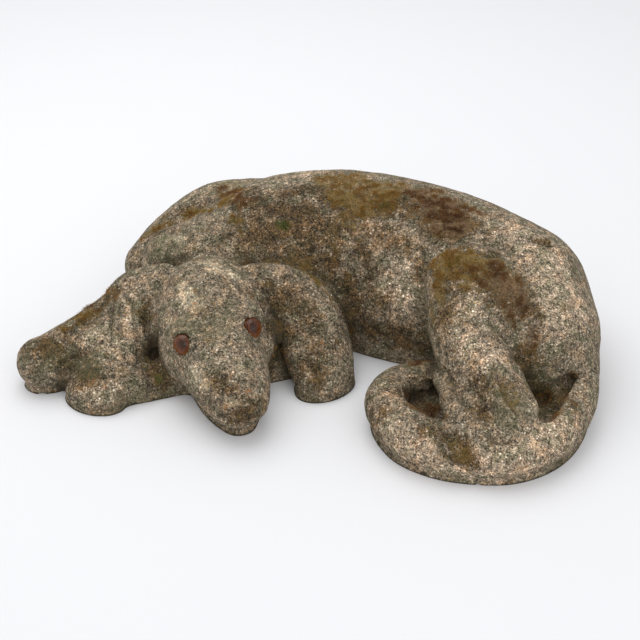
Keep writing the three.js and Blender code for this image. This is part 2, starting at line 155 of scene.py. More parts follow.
# The head, in its own axes with the nose towards -Y
HEAD_PLACE = np.array([-92.0, -60.0, 50.0])
HEAD_AXES = np.array(
    Matrix.Rotation(math.radians(11), 3, "Z") @ Matrix.Rotation(math.radians(-7), 3, "Y")
)
SKULL = ((0, 46, 12), (56, 58, 50))
MUZZLE = [(0, 20, 4, 52), (0, -24, -2, 46), (6, -61, -12, 36.5), (8, -79, -16, 30)]
JAW = [(0, 10, -24, 42), (5, -39, -26, 35), (8, -70, -25, 24)]
HEAD_CORE = (0, 8, 6)  # the eyes look out from here
EYES = {"right": (-35, -31, 26), "left": (39.5, -24.5, 23.5)}
EYE_TURN = {"right": 0.0, "left": 0.28}  # added to the way an eye looks, to the head's left
STOP = ((1, -40, 46), (17, 26, 12))  # the dip between the eyes
BROW = ((7, 18, 2), (19, 14, 12))  # its middle from the eye's, and its radii
PIT_OUT = 15.0  # from the eye's middle to its pit's
PIT_RADIUS = 17.0
CHEEK = ((42, 4, -8), (18, 28, 24))

# Finer carving, only on the finished stone: the lips, the nostrils and the lids
FINE_CUTS = [
    [(-134, -96, 46, 1), (-126, -106, 36, 1.8), (-115, -122, 34, 2), (-103, -139, 33, 2)],
    [(-103, -139, 33, 2), (-91, -155, 35, 2), (-79, -163, 31, 2.6), (-65, -166, 32, 2.6)],
    [(-65, -166, 32, 2.6), (-52, -162, 33, 2), (-43, -154, 35, 2), (-39, -145, 38, 1)],
    [(-40, -148, 42, 2.6), (-44, -151, 42, 2)],
    [(-105, -137, 42, 2.4), (-101, -142, 41, 2)],
]
LID_RADIUS = 11.4
LID_THICKNESS = 1.9
LID_HEIGHT = 3.0  # over the middle of the eye
LID_BLEND = 4.0
SOCKET_GAP = 0.3

# Creases, growth, wear and painted shade in folds, as strokes of u, v in the picture and a radius in mm on
# the stone.
# The creases are those of the hind foot, the right ear, the fore paw, the rump, the lips and the
# folds where the ears meet the head.
CREASES = [
    [(440, 372, 2.5), (452, 388, 3.2), (464, 400, 3.4), (476, 404, 2.5)],
    [(496, 365, 2.5), (504, 380, 3.4), (512, 398, 3.6), (518, 412, 2.6)],
    [(434, 436, 2.5), (446, 450, 3.4), (460, 462, 3.6), (476, 472, 2.6)],
    [(492, 433, 2.5), (500, 438, 3), (510, 438, 2.4)],
    [(126, 272, 1.6), (113, 288, 2.5), (108, 306, 2.6), (107, 324, 2.5), (109, 342, 2)],
    [(131, 300, 1.0), (134, 318, 1.5), (139, 336, 1.5), (141, 350, 1.0)],
    [(64, 366, 1.4), (76, 356, 2), (88, 346, 2), (99, 338, 1.4)],
    [(474, 244, 2), (486, 250, 4), (500, 252, 2)],
    [(531, 236, 1.5), (545, 239, 3), (558, 243, 1.5)],
    [(217, 415, 1.8), (231, 424, 2.4), (246, 428, 2.6), (258, 426, 2.4), (266, 419, 1.8)],
    [(258, 284, 2), (264, 298, 3), (269, 314, 3), (272, 330, 3)],
    [(147, 298, 2), (149, 314, 3), (149, 330, 3)],
]
MOSS_GOLD = [
    [(330, 176, 14), (348, 178, 18), (368, 182, 20), (388, 186, 18), (402, 184, 10)],
    [(336, 194, 12), (352, 200, 18), (370, 202, 18), (388, 200, 14)],
    [(344, 214, 9), (352, 222, 6)],
    [(432, 258, 9), (446, 256, 15), (464, 258, 15), (480, 266, 12)],
    [(434, 270, 8), (450, 272, 10), (466, 274, 10)], [(430, 292, 6), (439, 293, 7)],
    [(427, 300, 4), (428, 318, 3)],
    [(66, 326, 6), (80, 320, 8), (92, 311, 8)],
    [(186, 214, 5), (200, 210, 5), (214, 204, 5), (226, 197, 5)],
    [(140, 238, 5), (148, 229, 5), (160, 222, 4)],
    [(235, 205, 4), (238, 216, 6), (241, 226, 4)],
    [(300, 264, 3), (312, 272, 4), (322, 284, 4), (334, 300, 3)],
    [(328, 256, 5), (338, 262, 4), (344, 274, 4)],
    [(504, 370, 3), (508, 386, 4), (514, 400, 4)], [(456, 446, 6), (466, 458, 6)],
]
MOSS_BROWN = [
    [(414, 188, 10), (430, 194, 16), (448, 202, 18), (464, 212, 12)],
    [(426, 208, 14), (440, 218, 16), (452, 228, 12)],
    [(478, 264, 10), (498, 276, 17), (514, 290, 19), (526, 304, 13)],
    [(500, 292, 12), (516, 304, 12)],
    [(222, 187, 5), (234, 190, 8), (240, 200, 6)], [(94, 304, 7), (106, 294, 6)],
    [(527, 325, 8), (533, 341, 8)], [(404, 352, 5), (418, 360, 5)], [(414, 402, 7), (428, 410, 7)],
    [(545, 402, 6), (556, 411, 7), (562, 396, 5)],
]
MOSS_GREEN = [
    [(277, 220, 4), (284, 224, 5)], [(148, 366, 2), (156, 376, 3)],
]
# Where the stone is a shade darker than elsewhere, under the patches of grime
DULL = [
    [(366, 218, 12), (384, 232, 14), (402, 246, 14), (418, 262, 12)],
    [(170, 212, 8), (200, 202, 8), (222, 196, 8)],
    [(286, 196, 20), (318, 214, 22), (352, 250, 18), (372, 300, 18)],
    [(36, 346, 16), (56, 352, 20), (84, 372, 18)],
    [(366, 404, 12), (376, 440, 12), (384, 396, 12)], [(448, 300, 16), (440, 330, 16)],
    [(226, 192, 16), (252, 206, 24), (262, 236, 28), (300, 232, 30), (334, 262, 26), (350, 300, 20)],
    [(286, 292, 22), (300, 330, 24), (312, 366, 18)],
    [(214, 384, 12), (236, 400, 13), (250, 416, 11)], [(474, 380, 12), (486, 410, 10)],
    [(430, 216, 24), (462, 232, 22)],
]
# Grime, and painted shade in folds: the strokes along the hip and rump creases, in the hollow between the
# right ear and the head, and where the left ear meets the head
GRIME_AND_FOLD_SHADE = [
    [(262, 196, 14), (268, 222, 22), (300, 216, 26), (328, 232, 20), (344, 250, 13)],
    [(318, 190, 14), (352, 202, 20), (392, 200, 20), (432, 206, 22), (466, 224, 14)],
    [(330, 262, 14), (344, 290, 18), (352, 320, 18), (384, 338, 16), (416, 342, 14)],
    [(436, 262, 14), (470, 266, 18), (508, 288, 20), (528, 312, 14)],
    [(470, 244, 7), (484, 249, 8), (500, 250, 5)], [(158, 230, 8), (170, 229, 6)],
    [(224, 236, 9), (236, 242, 9), (252, 254, 10)], [(300, 186, 10), (286, 192, 8)],
    [(363, 233, 4), (366, 236, 4)], [(385, 240, 4), (388, 244, 4)],
    [(146, 310, 5), (150, 340, 7), (154, 366, 10), (162, 384, 7)],
    [(262, 268, 5), (274, 290, 7), (276, 330, 6), (276, 370, 6)],
    [(543, 238, 4), (550, 241, 4)],
    [(56, 322, 8), (84, 304, 10), (110, 288, 8)], [(405, 392, 10), (420, 404, 12)],
    [(420, 428, 8), (452, 436, 10), (470, 460, 8)],
    [(520, 352, 8), (536, 386, 12), (550, 400, 14), (562, 388, 8)],
    [(410, 396, 12), (426, 406, 14)],
]
LICHEN = [
    [(204, 259, 8), (222, 266, 10), (238, 272, 7)], [(172, 236, 6), (180, 237, 6)],
    [(180, 284, 8), (188, 296, 10), (194, 300, 6)], [(230, 399, 7), (238, 402, 6)],
    [(190, 366, 7), (196, 380, 8), (204, 388, 5)],
]
RUST = [
    [(194, 288, 2.6), (197, 289, 2)], [(191, 302, 2), (194, 301, 2.4)],
    [(214, 271, 2), (217, 271, 2)], [(232, 276, 1.8), (234, 276, 1.8)],
    [(239, 294, 2), (242, 295, 2)], [(221, 407, 2), (223, 408, 2)], [(249, 387, 2), (252, 389, 2)],
    [(90, 378, 2.4), (93, 379, 2.4)], [(325, 339, 2), (326, 341, 2)],
    [(103, 384, 2), (107, 386, 2)],
]
PALE = [
    [(352, 236, 10), (372, 229, 12), (388, 236, 9)], [(396, 250, 12), (410, 262, 12)],
    [(384, 282, 14), (402, 300, 12)], [(290, 168, 12), (310, 170, 10)],
    [(196, 188, 5), (212, 182, 6), (226, 179, 5)],
    [(510, 228, 18), (548, 258, 26), (566, 300, 28), (570, 330, 14)],
    [(470, 292, 12), (452, 326, 16), (478, 346, 16), (500, 352, 10)],
    [(385, 385, 12), (388, 430, 16), (440, 468, 12), (520, 458, 18), (574, 420, 16)],
    [(88, 340, 10), (110, 330, 9)],
    [(430, 470, 14), (480, 478, 16), (530, 466, 18), (572, 430, 20)],
    [(122, 290, 7), (128, 326, 7), (132, 356, 6)],
    [(78, 388, 10), (98, 393, 12), (118, 390, 8)],
    [(398, 430, 14), (420, 452, 16), (452, 470, 14)],
]

# The kinds of stroke: how ragged and how soft their edges are in mm, and the seed of their noise
STROKES = {
    "creases": (CREASES, 1.5, 2.5, 38),
    "gold": (MOSS_GOLD, 14, 11, 31),
    "brown": (MOSS_BROWN, 14, 12, 33),
    "green": (MOSS_GREEN, 4, 4, 34),
    "grime_and_shade": (GRIME_AND_FOLD_SHADE, 12, 12, 43),
    "dull": (DULL, 14, 18, 46),
    "lichen": (LICHEN, 6, 5, 35),
    "rust": (RUST, 2, 2.2, 36),
    "pale": (PALE, 10, 12, 37),
}

REACH = 30.0  # beyond it a mass only says that it is far

# How the net is laid on the carved form, in mm and steps
LONGEST_MOVE = 1.5
LEAST_STEEP = 0.2
EDGE_WIDTH = 2.0
FIRST_STEPS = 3
LID_STEPS = 4
LID_REACH = 7.0

# Steps out from the stone that tell how shut in a point is, for its painted shade and its damp moss, and
# what each counts for
WAYS_OUT = ((3, 0.3), (8, 0.3), (18, 0.25), (29, 0.15))
GROUND_ROOM = 9.0  # added to the height over the ground there

# The painted eye, sealed in its glass: how thick the glass is over it and how deep the iris dips
GLASS_OVER = 0.0006
IRIS_DIP = 0.0012
IRIS_RINGS = 24
BALL_RINGS = 40
BALL_SIDES = 64
PAINT_BEHIND = 0.9  # the iris paint's place used for the back, of 1 at the rim

# How strongly each kind shows, as shares of the whole
DULL_SHARE = 0.85
RAIN_SHARE = 0.85
# How much of the painted shade of the hollows the creases and the air holes get
CREASE_SHADE_SHARE = 0.65
HOLE_SHADE_SHARE = 0.7
DAMP_SHARE = 0.6
ALGAE_SHARE = 0.8

# How the moss stands, in metres, and how far a blade leans for each metre of its length
MOSS_FROM = 0.004  # lowest height of a blade's foot
MOSS_SPREAD = 0.0009
BLADE_SUNK = 0.0005
BLADE_LEAN = 0.55
BOX_MARGIN = 1e-5  # blades end this far inside the solid's box


def length(rows):
    """How long each row of x, y, z is."""
    return np.linalg.norm(rows, axis=-1)


def unit(rows):
    """The rows' directions, each of length 1."""
    return rows / length(rows)[..., None]


def smooth_lower(a, b, width):
    """The lower of two distances, rounded off where they differ by less than width."""
    lap = np.maximum(width - np.abs(a - b), 0.0)
    return np.minimum(a, b) - lap * lap / (4.0 * width)


def curve(rows, steps):
    """A Catmull-Rom spline through the rows: half of 2b + (c-a)t + (2a-5b+4c-d)t² + (3b-a-3c+d)t³."""
    rows = np.asarray(rows, float)
    if len(rows) < 3:
        return rows
    row = np.vstack([2 * rows[0] - rows[1], rows, 2 * rows[-1] - rows[-2]])
    a, b, c, d = (row[i : len(row) - 3 + i, None, :] for i in range(4))
    t = (np.arange(steps) / steps)[None, :, None]
    spans = b + 0.5 * t * (c - a + t * (2 * a - 5 * b + 4 * c - d + t * (3 * b - a - 3 * c + d)))
    return np.vstack([spans.reshape(-1, rows.shape[1]), rows[-1]])


def limb(rows, up=(0, 0, 1), flat=1.0, steps=8):
    """Distance to a round section carried along the rows: how far a point is from the nearest
    span less the radius there. Where flat is under 1, the section is squashed along up."""
    rows = curve(rows, steps)
    up = unit(np.array(up))
    low = (rows[:, :3] - rows[:, 3:]).min(0) - REACH
    high = (rows[:, :3] + rows[:, 3:]).max(0) + REACH
    spread = np.eye(3) + (1 / flat - 1) * np.outer(up, up)
    starts = rows[:, :3] @ spread
    runs = np.diff(starts, axis=0)

    def distance(points):
        far = np.maximum(np.maximum(low - points, points - high), 0).sum(1)
        near = far == 0
        result = REACH + far
        if near.any():
            q = points[near] @ spread
            best = np.full(len(q), np.inf)
            for start, run, radius, more in zip(starts, runs, rows[:, 3], np.diff(rows[:, 3])):
                offset = q - start
                t = np.clip(offset @ run / (run @ run), 0, 1)
                gap = offset - t[:, None] * run
                best = np.minimum(best, np.sqrt(np.einsum("ij,ij->i", gap, gap)) - radius - t * more)
            result[near] = best * flat
        return result

    return distance


def ball(shape, axes=np.eye(3)):
    """Distance to an ellipsoid, near enough: k (k - 1) / |k / radii|, with k the share of the way out."""
    place, radii = np.array(shape[0], float), np.array(shape[1], float)

    def distance(points):
        offset = points - place
        far = np.abs(offset).max(1) - radii.max() - REACH
        share = offset @ axes / radii
        out = length(share)
        steep = np.maximum(length(share / radii), 1e-6)
        return np.where(far > 0, REACH + far, out * (out - 1) / steep)

    return distance


def ring(points, centre, axis, radius, thickness):
    """Distance to a ring: a circle about the axis, with a round section."""
    offset = points - centre
    along = offset @ axis
    return np.hypot(length(offset - along[:, None] * axis) - radius, along) - thickness


def blend(first, *rest):
    """The first mass, with each row of width, mass joined to it, or cut out of it where the row says so."""

    def distance(points):
        total = first(points)
        for width, mass, *cut in rest:
            if cut:
                total = -smooth_lower(-total, mass(points), width)
            else:
                total = smooth_lower(total, mass(points), width)
        return total

    return distance


def on_head(row):
    """A row in the head's axes, in the figure's axes."""
    return (*(HEAD_AXES @ np.array(row[:3], float) + HEAD_PLACE), *row[3:])


def eye_way(side):
    """The direction in which an eye looks, from the head's core out through its centre and turned."""
    way = unit(np.subtract(EYES[side], HEAD_CORE)) + (EYE_TURN[side], 0, 0)
    return unit(HEAD_AXES @ way)


def eye_centre(side):
    """The middle of a glass eye on the carved figure."""
    low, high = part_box(f"{side}_glass_eye")
    return np.array((low + high) / 2) / MM + MIDDLE


def eye_radius():
    """Radius of a glass eye in mm."""
    low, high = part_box("right_glass_eye")
    return (high.z - low.z) / 2 / MM


def eye_gap(points):
    """How far points are from the nearer glass eye, in mm."""
    return np.minimum(*(length(points - eye_centre(side)) for side in EYES)) - eye_radius()


def make_head():
    """The head's mass, from the skull to the muzzle and the pits round the eyes."""

    def head_limb(rows, flat):
        return limb([on_head(row) for row in rows], flat=flat)

    def head_ball(shape):
        return ball((on_head(shape[0]), shape[1]), HEAD_AXES)

    brows, pits = [], []
    for eye in EYES.values():
        inward, radii = BROW
        side = math.copysign(inward[0], eye[0])
        brows.append(head_ball(((eye[0] - side, eye[1] + inward[1], eye[2] + inward[2]), radii)))
        place = eye + PIT_OUT * unit(np.subtract(eye, HEAD_CORE))
        pits.append(head_ball((place, (PIT_RADIUS,) * 3)))

    return blend(
        head_ball(SKULL),
        (18, head_limb(MUZZLE, 0.9)),
        (14, head_limb(JAW, 0.8)),
        *((14, head_ball((CHEEK[0] * np.array((side, 1, 1)), CHEEK[1]))) for side in (1, -1)),
        *((12, brow) for brow in brows),
        (10, head_ball(STOP), "cut"),
        *((4, pit, "cut") for pit in pits),
    )


def make_figure():
    """The whole carved figure as a distance: its masses joined, its hollows and grooves cut."""
    return blend(
        limb(SPINE, steps=12),
        (5, limb(SHOULDER)),
        (5, limb(NECK)),
        (16, ball(RUMP)),
        (14, limb(BELLY)),
        *((10, ball(loin)) for loin in LOINS),
        (5, limb(TAIL)),
        (5, limb(FOOT_STEP), "cut"),
        (3, blend(limb(THIGH), (14, limb(SHANK)), (6, limb(HOCK)))),
        (4, limb(FOOT)),
        *((5, ball(floor)) for floor in FLOORS),
        (8, limb(FORELEG)),
        (8, blend(limb(CHIN_REST), (10, limb(CHEST)))),
        (6, make_head()),
        (4, limb(LEFT_EAR, up=(0.35, -0.55, 0.72), flat=EAR_FLATNESS)),
        (4, limb(RIGHT_EAR, up=(-0.3, -0.6, 0.75), flat=EAR_FLATNESS)),
        (8, limb(EAR_HOLLOW), "cut"),
        (5, limb(TAIL_HOLE), "cut"),
        (5, limb(TAIL_POCKET), "cut"),
        *((4, limb(groove), "cut") for groove in GROOVES),
        *((2, limb(cut), "cut") for cut in FINE_CUTS),
    )


def carve(figure, points):
    """The field of the stone: the figure with straight sides below the skirt, lids raised round the
    eyes, and the sockets cut clear of the glass."""
    lifted = points.copy()
    lifted[:, 2] = np.maximum(lifted[:, 2], SKIRT)
    total = figure(lifted)
    for side in EYES:
        way = eye_way(side)
        lid = ring(points, eye_centre(side) + LID_HEIGHT * way, way, LID_RADIUS, LID_THICKNESS)
        total = smooth_lower(total, lid, LID_BLEND)
    return np.maximum(total, SOCKET_GAP - eye_gap(points))


def slope(field, points, step=0.6):
    """The field and its gradient, from four samples at the corners of a small tetrahedron."""
    corners = np.array([(1, -1, -1), (-1, -1, 1), (-1, 1, -1), (1, 1, 1)], float)
    samples = [field(points + corner * step) for corner in corners]
    gradient = sum(s[:, None] * c for s, c in zip(samples, corners)) / (4 * step)
    return sum(samples) / 4, gradient


def settle(field, points, under, steps):
    """Moves points onto the field's face. Those under the stone move level, and only near its edge."""
    points = points.copy()
    for step in range(steps):
        gap, gradient = slope(field, points)
        if step == 0:
            face = ~under | (gap > -EDGE_WIDTH)
        steep = np.maximum((gradient**2).sum(1), LEAST_STEEP)
        move = np.clip(-gap / steep, -LONGEST_MOVE, LONGEST_MOVE)[:, None] * gradient
        move[:, 2] = np.where(under, 0, move[:, 2])
        points[face] += move[face]
        points[:, 2] = np.maximum(points[:, 2], 0)
    return points


def noise(points, size, seed):
    """Smooth noise from -1 to 1: random values on a lattice of that size, blended by a quintic step."""
    cell = points / size
    base = np.floor(cell).astype(np.int64)
    t = cell - base
    t = t * t * t * (t * (t * 6 - 15) + 10)
    total = np.zeros(len(points))
    for corner in itertools.product((0, 1), repeat=3):
        weight = np.where(corner, t, 1 - t).prod(1)
        total += weight * scatter(base + corner, seed)
    return total


def scatter(cells, seed):
    """A fixed random number from -1 to 1 for each lattice cell."""
    h = cells @ np.array([374761393, 668265263, 1274126177]) + seed * 974634777
    h = (h & 0xFFFFFFFF) * 2654435761 & 0xFFFFFFFF
    h = (h ^ (h >> 15)) * 2246822519 & 0xFFFFFFFF
    h = (h ^ (h >> 13)) * 3266489917 & 0xFFFFFFFF
    return ((h ^ (h >> 16)) & 0xFFFF) / 32767.5 - 1


def pits(points, size, seed):
    """Round pits, from 0 on the face to 1 at their bottoms: each lattice cell has one at a random
    place in it, with a random radius up to 0.45 of the cell."""
    cell = points / size
    base = np.floor(cell).astype(np.int64)
    depth = np.zeros(len(points))
    for corner in itertools.product((-1, 0, 1), repeat=3):
        home = base + corner
        shift = np.stack([scatter(home, seed + i) for i in range(3)], 1) * 0.5 + 0.5
        radius = 0.45 * np.maximum(scatter(home, seed + 3), 0.05)
        away = length(home + shift - cell) / radius
        depth = np.maximum(depth, 1 - np.minimum(away, 1) ** 2)
    return depth


def ease(low, high, values):
    """0 below low, 1 above high and a smooth step 3t² - 2t³ between."""
    t = np.clip((values - low) / (high - low), 0, 1)
    return t * t * (3 - 2 * t)


def picture_place(points):
    """Where points in metres fall in the picture, in pixels, and how far along the view they lie."""
    sine, cosine = math.sin(VIEW_ELEVATION), math.cos(VIEW_ELEVATION)
    forward = np.array([0, cosine, -sine])
    offset = points - (LOOK_AT - forward * VIEW_DISTANCE)
    depth = offset @ forward
    focal = PICTURE_SIZE * VIEW_LENS / VIEW_SENSOR
    u = PICTURE_SIZE / 2 + focal * offset[:, 0] / depth
    v = PICTURE_SIZE / 2 - focal * (offset @ np.array([0, sine, cosine])) / depth
    return np.stack([u, v], 1), depth


def strokes_on(points, strokes, ragged, soft, seed):
    """How much of each point the strokes cover, from 0 to 1. A stroke's rows are set down on the
    point of the stone that the picture shows there, and its edge is ragged by noise."""
    pixels, depth = picture_place((points - MIDDLE) * MM)
    covered = np.zeros(len(points))
    edge = ragged * (0.6 * noise(points, 14, seed) + 0.4 * noise(points, 5, seed + 1))
    for stroke in strokes:
        rows = []
        for u, v, radius in stroke:
            away = np.abs(pixels - (u, v)).max(1)
            near = np.flatnonzero(away < max(3.0, away.min() + 0.5))
            rows.append((*points[near[np.argmin(depth[near])]], radius))
        gap = limb(rows, steps=4)(points) + edge
        covered = np.maximum(covered, 1 - ease(-soft, soft, gap))
    return covered


def in_scene(name, data):
    """A new object in the scene."""
    item = bpy.data.objects.new(name, data)
    bpy.context.scene.collection.objects.link(item)
    return item


def new_piece(name, points, faces, material, smooth=True):
    """A mesh object of points in metres and faces, riding on the statue."""
    mesh = bpy.data.meshes.new(name)
    mesh.from_pydata(points.tolist(), [], faces)
    mesh.polygons.foreach_set("use_smooth", np.full(len(mesh.polygons), smooth))
    mesh.update()
    mesh.materials.append(material)
    piece = in_scene(name, mesh)
    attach(piece, "root")
    return piece


def set_values(mesh, name, values):
    """Keeps one number a point on the mesh, for its material."""
    layer = mesh.attributes.new(name, "FLOAT", "POINT")
    layer.data.foreach_set("value", np.asarray(values, np.float32))


def rows_of(items, key):
    """What each of a mesh's points or normals holds, as rows of x, y, z."""
    flat = np.empty(len(items) * 3)
    items.foreach_get(key, flat)
    return flat.reshape(-1, 3)


def even_copy(node, name, size):
    """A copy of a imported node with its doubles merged, remade as an even net of that size."""
    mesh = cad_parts[node].data.copy()
    work = bmesh.new()
    work.from_mesh(mesh)
    bmesh.ops.remove_doubles(work, verts=work.verts, dist=1e-6)
    work.to_mesh(mesh)
    work.free()
    copy = in_scene(name, mesh)
    net = copy.modifiers.new("Even net", "REMESH")
    net.mode = "VOXEL"
    net.voxel_size = size
    whole = bpy.data.meshes.new_from_object(copy.evaluated_get(bpy.context.evaluated_depsgraph_get()))
    copy.modifiers.clear()
    copy.data = whole
    copy.data.name = name
    bpy.data.meshes.remove(mesh)
    return copy


class Recipe:
    """A material put together from nodes, with its shader's plain values set on the shader."""

    def __init__(self, name, **plain):
        self.material = bpy.data.materials.new(name)
        self.material.use_nodes = True
        self.tree = self.material.node_tree
        self.shader = self.tree.nodes["Principled BSDF"]
        for socket, value in plain.items():
            self.shader.inputs[socket.replace("_", " ")].default_value = value
        self.place = self.add("ShaderNodeTexCoord").outputs["Object"]

    def add(self, kind, inputs=None, **settings):
        node = self.tree.nodes.new(kind)
        for name, value in settings.items():
            setattr(node, name, value)
        for name, value in (inputs or {}).items():
            self.put(node.inputs[name], value)
        return node

    def put(self, socket, value):
        if isinstance(value, bpy.types.NodeSocket):
            self.tree.links.new(value, socket)
        else:
            socket.default_value = value

    def noise(self, size, detail=3.0, roughness=0.5):
        """Noise with features of that many metres, from 0 to 1."""
        node = self.add(
            "ShaderNodeTexNoise",
            {"Vector": self.place, "Scale": 1 / size, "Detail": detail, "Roughness": roughness},
        )
        return node.outputs["Fac"]

    def grains(self, size):
        """Grains of that many metres: how far from the middle, and a random colour each."""
        return self.add("ShaderNodeTexVoronoi", {"Vector": self.place, "Scale": 1 / size}).outputs

    def chance(self, grains):
        """A random number from 0 to 1 for each grain."""
        return self.add("ShaderNodeSeparateColor", {"Color": grains["Color"]}).outputs["Red"]

    def value(self, name):
        """A number that the mesh keeps at each point."""
        return self.add("ShaderNodeAttribute", attribute_name=name).outputs["Fac"]

    def plus(self, a, b):
        return self.add("ShaderNodeMath", {0: a, 1: b}, operation="ADD").outputs[0]

    def times(self, a, b):
        return self.add("ShaderNodeMath", {0: a, 1: b}, operation="MULTIPLY").outputs[0]

    def painted(self, colour):
        """The finished material, in that colour."""
        self.put(self.shader.inputs["Base Color"], colour)
        return self.material

    def ramp(self, factor, stops, interpolation="LINEAR"):
        """Colours by a number: rows of its value and red, green, blue."""
        node = self.add("ShaderNodeValToRGB", {"Fac": factor})
        node.color_ramp.interpolation = interpolation
        elements = node.color_ramp.elements
        while len(elements) < len(stops):
            elements.new(0.5)
        for element, (at, *_) in zip(elements, stops):
            element.position = at
        for element, (_, *colour) in zip(elements, stops):
            element.color = rgb(colour)
        return node.outputs["Color"]

    def mix(self, factor, a, b, kind="MIX"):
        """From a to b by the factor, or a times b by it."""
        node = self.add("ShaderNodeMix", data_type="RGBA", blend_type=kind)
        self.put(node.inputs[0], factor)
        self.put(node.inputs[6], a)
        self.put(node.inputs[7], b)
        return node.outputs[2]

    def tinted(self, colour, tint):
        """The colour times a tint, given as red, green, blue or as a socket."""
        return self.mix(1.0, colour, rgb(tint) if isinstance(tint, tuple) else tint, "MULTIPLY")

    def range(self, value, low, high, to_low=0.0, to_high=1.0):
        """The value's place between low and high, carried over to between two others."""
        return self.add(
            "ShaderNodeMapRange",
            {"Value": value, "From Min": low, "From Max": high, "To Min": to_low, "To Max": to_high},
        ).outputs[0]

    def ragged(self, name, speckles, share):
        """A number that the mesh keeps, with its borders broken up by speckles."""
        return self.plus(self.value(name), self.times(speckles, share))


def rgb(colour):
    return (*colour, 1)


def fresh_stone(recipe, coarse, middling, fine):
    """Colour of the cast stone under its dirt: sandy paste with three sizes of grain, in shades that
    change over a few millimetres and over a few centimetres."""
    paste = recipe.ramp(
        recipe.noise(0.012, 4),
        [(0.25, 0.17, 0.135, 0.092), (0.5, 0.26, 0.205, 0.145), (0.8, 0.34, 0.275, 0.20)],
    )
    coarse_colour = recipe.ramp(
        recipe.chance(coarse),
        [
            (0.0, 0.06, 0.045, 0.03), (0.16, 0.14, 0.108, 0.072), (0.36, 0.25, 0.195, 0.135),
            (0.62, 0.36, 0.29, 0.21), (0.82, 0.50, 0.42, 0.32), (0.93, 0.34, 0.20, 0.10),
            (0.96, 0.66, 0.58, 0.47),
        ],
        "CONSTANT",
    )
    middling_colour = recipe.ramp(
        recipe.chance(middling),
        [
            (0.0, 0.03, 0.023, 0.016), (0.2, 0.15, 0.115, 0.075), (0.5, 0.30, 0.235, 0.165),
            (0.78, 0.52, 0.44, 0.335), (0.95, 0.34, 0.22, 0.12),
        ],
        "CONSTANT",
    )
    fine_colour = recipe.ramp(
        recipe.chance(fine),
        [(0.0, 0.05, 0.038, 0.025), (0.35, 0.23, 0.18, 0.125), (0.7, 0.44, 0.365, 0.275)],
        "CONSTANT",
    )
    colour = recipe.mix(0.55, paste, fine_colour)
    colour = recipe.mix(recipe.range(middling["Distance"], 0.5, 0.36), colour, middling_colour)
    colour = recipe.mix(recipe.range(coarse["Distance"], 0.42, 0.3), colour, coarse_colour)
    for size, low, high in ((0.0026, 0.5, 1.5), (0.0075, 0.56, 1.44), (0.03, 0.82, 1.18)):
        shade = recipe.range(recipe.noise(size, 3, 0.65), 0.34, 0.66, low, high)
        colour = recipe.tinted(colour, shade)
    hue = recipe.ramp(
        recipe.noise(0.015, 3, 0.6),
        [(0.32, 0.90, 1.0, 0.88), (0.5, 1.0, 1.0, 1.0), (0.66, 1.10, 0.98, 0.88)],
    )
    return recipe.tinted(colour, hue)


def weathered_and_shaded(recipe, colour, speckles, clouds):
    """The stone's colour after years outdoors: washed pale, grimy, with lichen, algae and rust, and
    painted shade in its hollows, creases, air holes and underside; some grime strokes are painted shade in
    folds."""
    colour = recipe.mix(
        recipe.range(recipe.ragged("pale", speckles, 0.6), 0.2, 0.9),
        recipe.tinted(colour, (0.86, 0.86, 0.83)), recipe.tinted(colour, (1.44, 1.40, 1.38)),
    )
    # Grime, and painted shade where the grime strokes lie in folds
    grime_and_shade_cover = recipe.plus(recipe.ragged("grime_and_shade", speckles, 1.0), clouds)
    grimed_and_shaded = recipe.tinted(colour, (0.36, 0.29, 0.19))
    colour = recipe.mix(recipe.range(grime_and_shade_cover, 0.25, 0.95), colour, grimed_and_shaded)
    crust = recipe.ramp(
        recipe.noise(0.0022, 3, 0.75), [(0.32, 0.20, 0.17, 0.11), (0.68, 0.66, 0.60, 0.46)]
    )
    lichen_colour = recipe.mix(0.35, recipe.tinted(colour, (2.3, 2.3, 2.2)), crust)
    for name, share, low, high, most, over in (
        ("lichen", 1.3, 0.3, 1.1, 0.9, lichen_colour),
        ("algae", 0.5, 0.3, 1.0, 0.5, rgb((0.10, 0.10, 0.045))),
        ("rust", 0.9, 0.35, 1.1, 0.75, rgb((0.34, 0.15, 0.055))),
        # Painted shade: near black where the stone is shut in, in its creases, in air holes and under it
        ("hollow_shade", 0.0, 0.24, 0.85, 0.85, rgb((0.04, 0.03, 0.015))),
    ):
        cover = recipe.range(recipe.ragged(name, speckles, share), low, high, 0, most)
        colour = recipe.mix(cover, colour, over)
    return colour


def mossy(recipe, colour, speckles, clouds):
    """The stone's colour with the felt of moss on it: golden, brown or green, paler on its fibres."""
    fibres = recipe.noise(0.0022, 4, 0.65)
    gold = recipe.ramp(fibres, [(0.32, 0.07, 0.05, 0.018), (0.68, 0.28, 0.18, 0.055)])
    brown = recipe.ramp(fibres, [(0.32, 0.065, 0.040, 0.022), (0.68, 0.23, 0.138, 0.068)])
    green = recipe.ramp(fibres, [(0.32, 0.025, 0.034, 0.010), (0.68, 0.09, 0.11, 0.03)])
    felt = recipe.mix(recipe.value("moss_tone"), gold, brown)
    felt = recipe.mix(recipe.value("moss_green"), felt, green)
    growth = recipe.plus(recipe.ragged("moss", speckles, 0.9), clouds)
    return recipe.mix(recipe.range(growth, 0.3, 1.1, 0, 0.88), colour, felt)


def stone_relief(recipe, coarse, middling, depth):
    """Grains that stand out of the paste, holes where some have fallen out, and a fine roughness."""
    proud = recipe.times(recipe.range(coarse["Distance"], 0.55, 0.1), 0.6)
    fallen = recipe.range(recipe.chance(middling), 0.2, 0.0)
    fallen = recipe.times(fallen, recipe.range(middling["Distance"], 0.5, 0.2, 0.0, -1.0))
    height = recipe.plus(proud, fallen)
    height = recipe.plus(height, recipe.times(recipe.noise(0.0015, 3), 0.8))
    bump = {"Height": height, "Distance": depth, "Strength": 1.0}
    return recipe.add("ShaderNodeBump", bump).outputs[0]


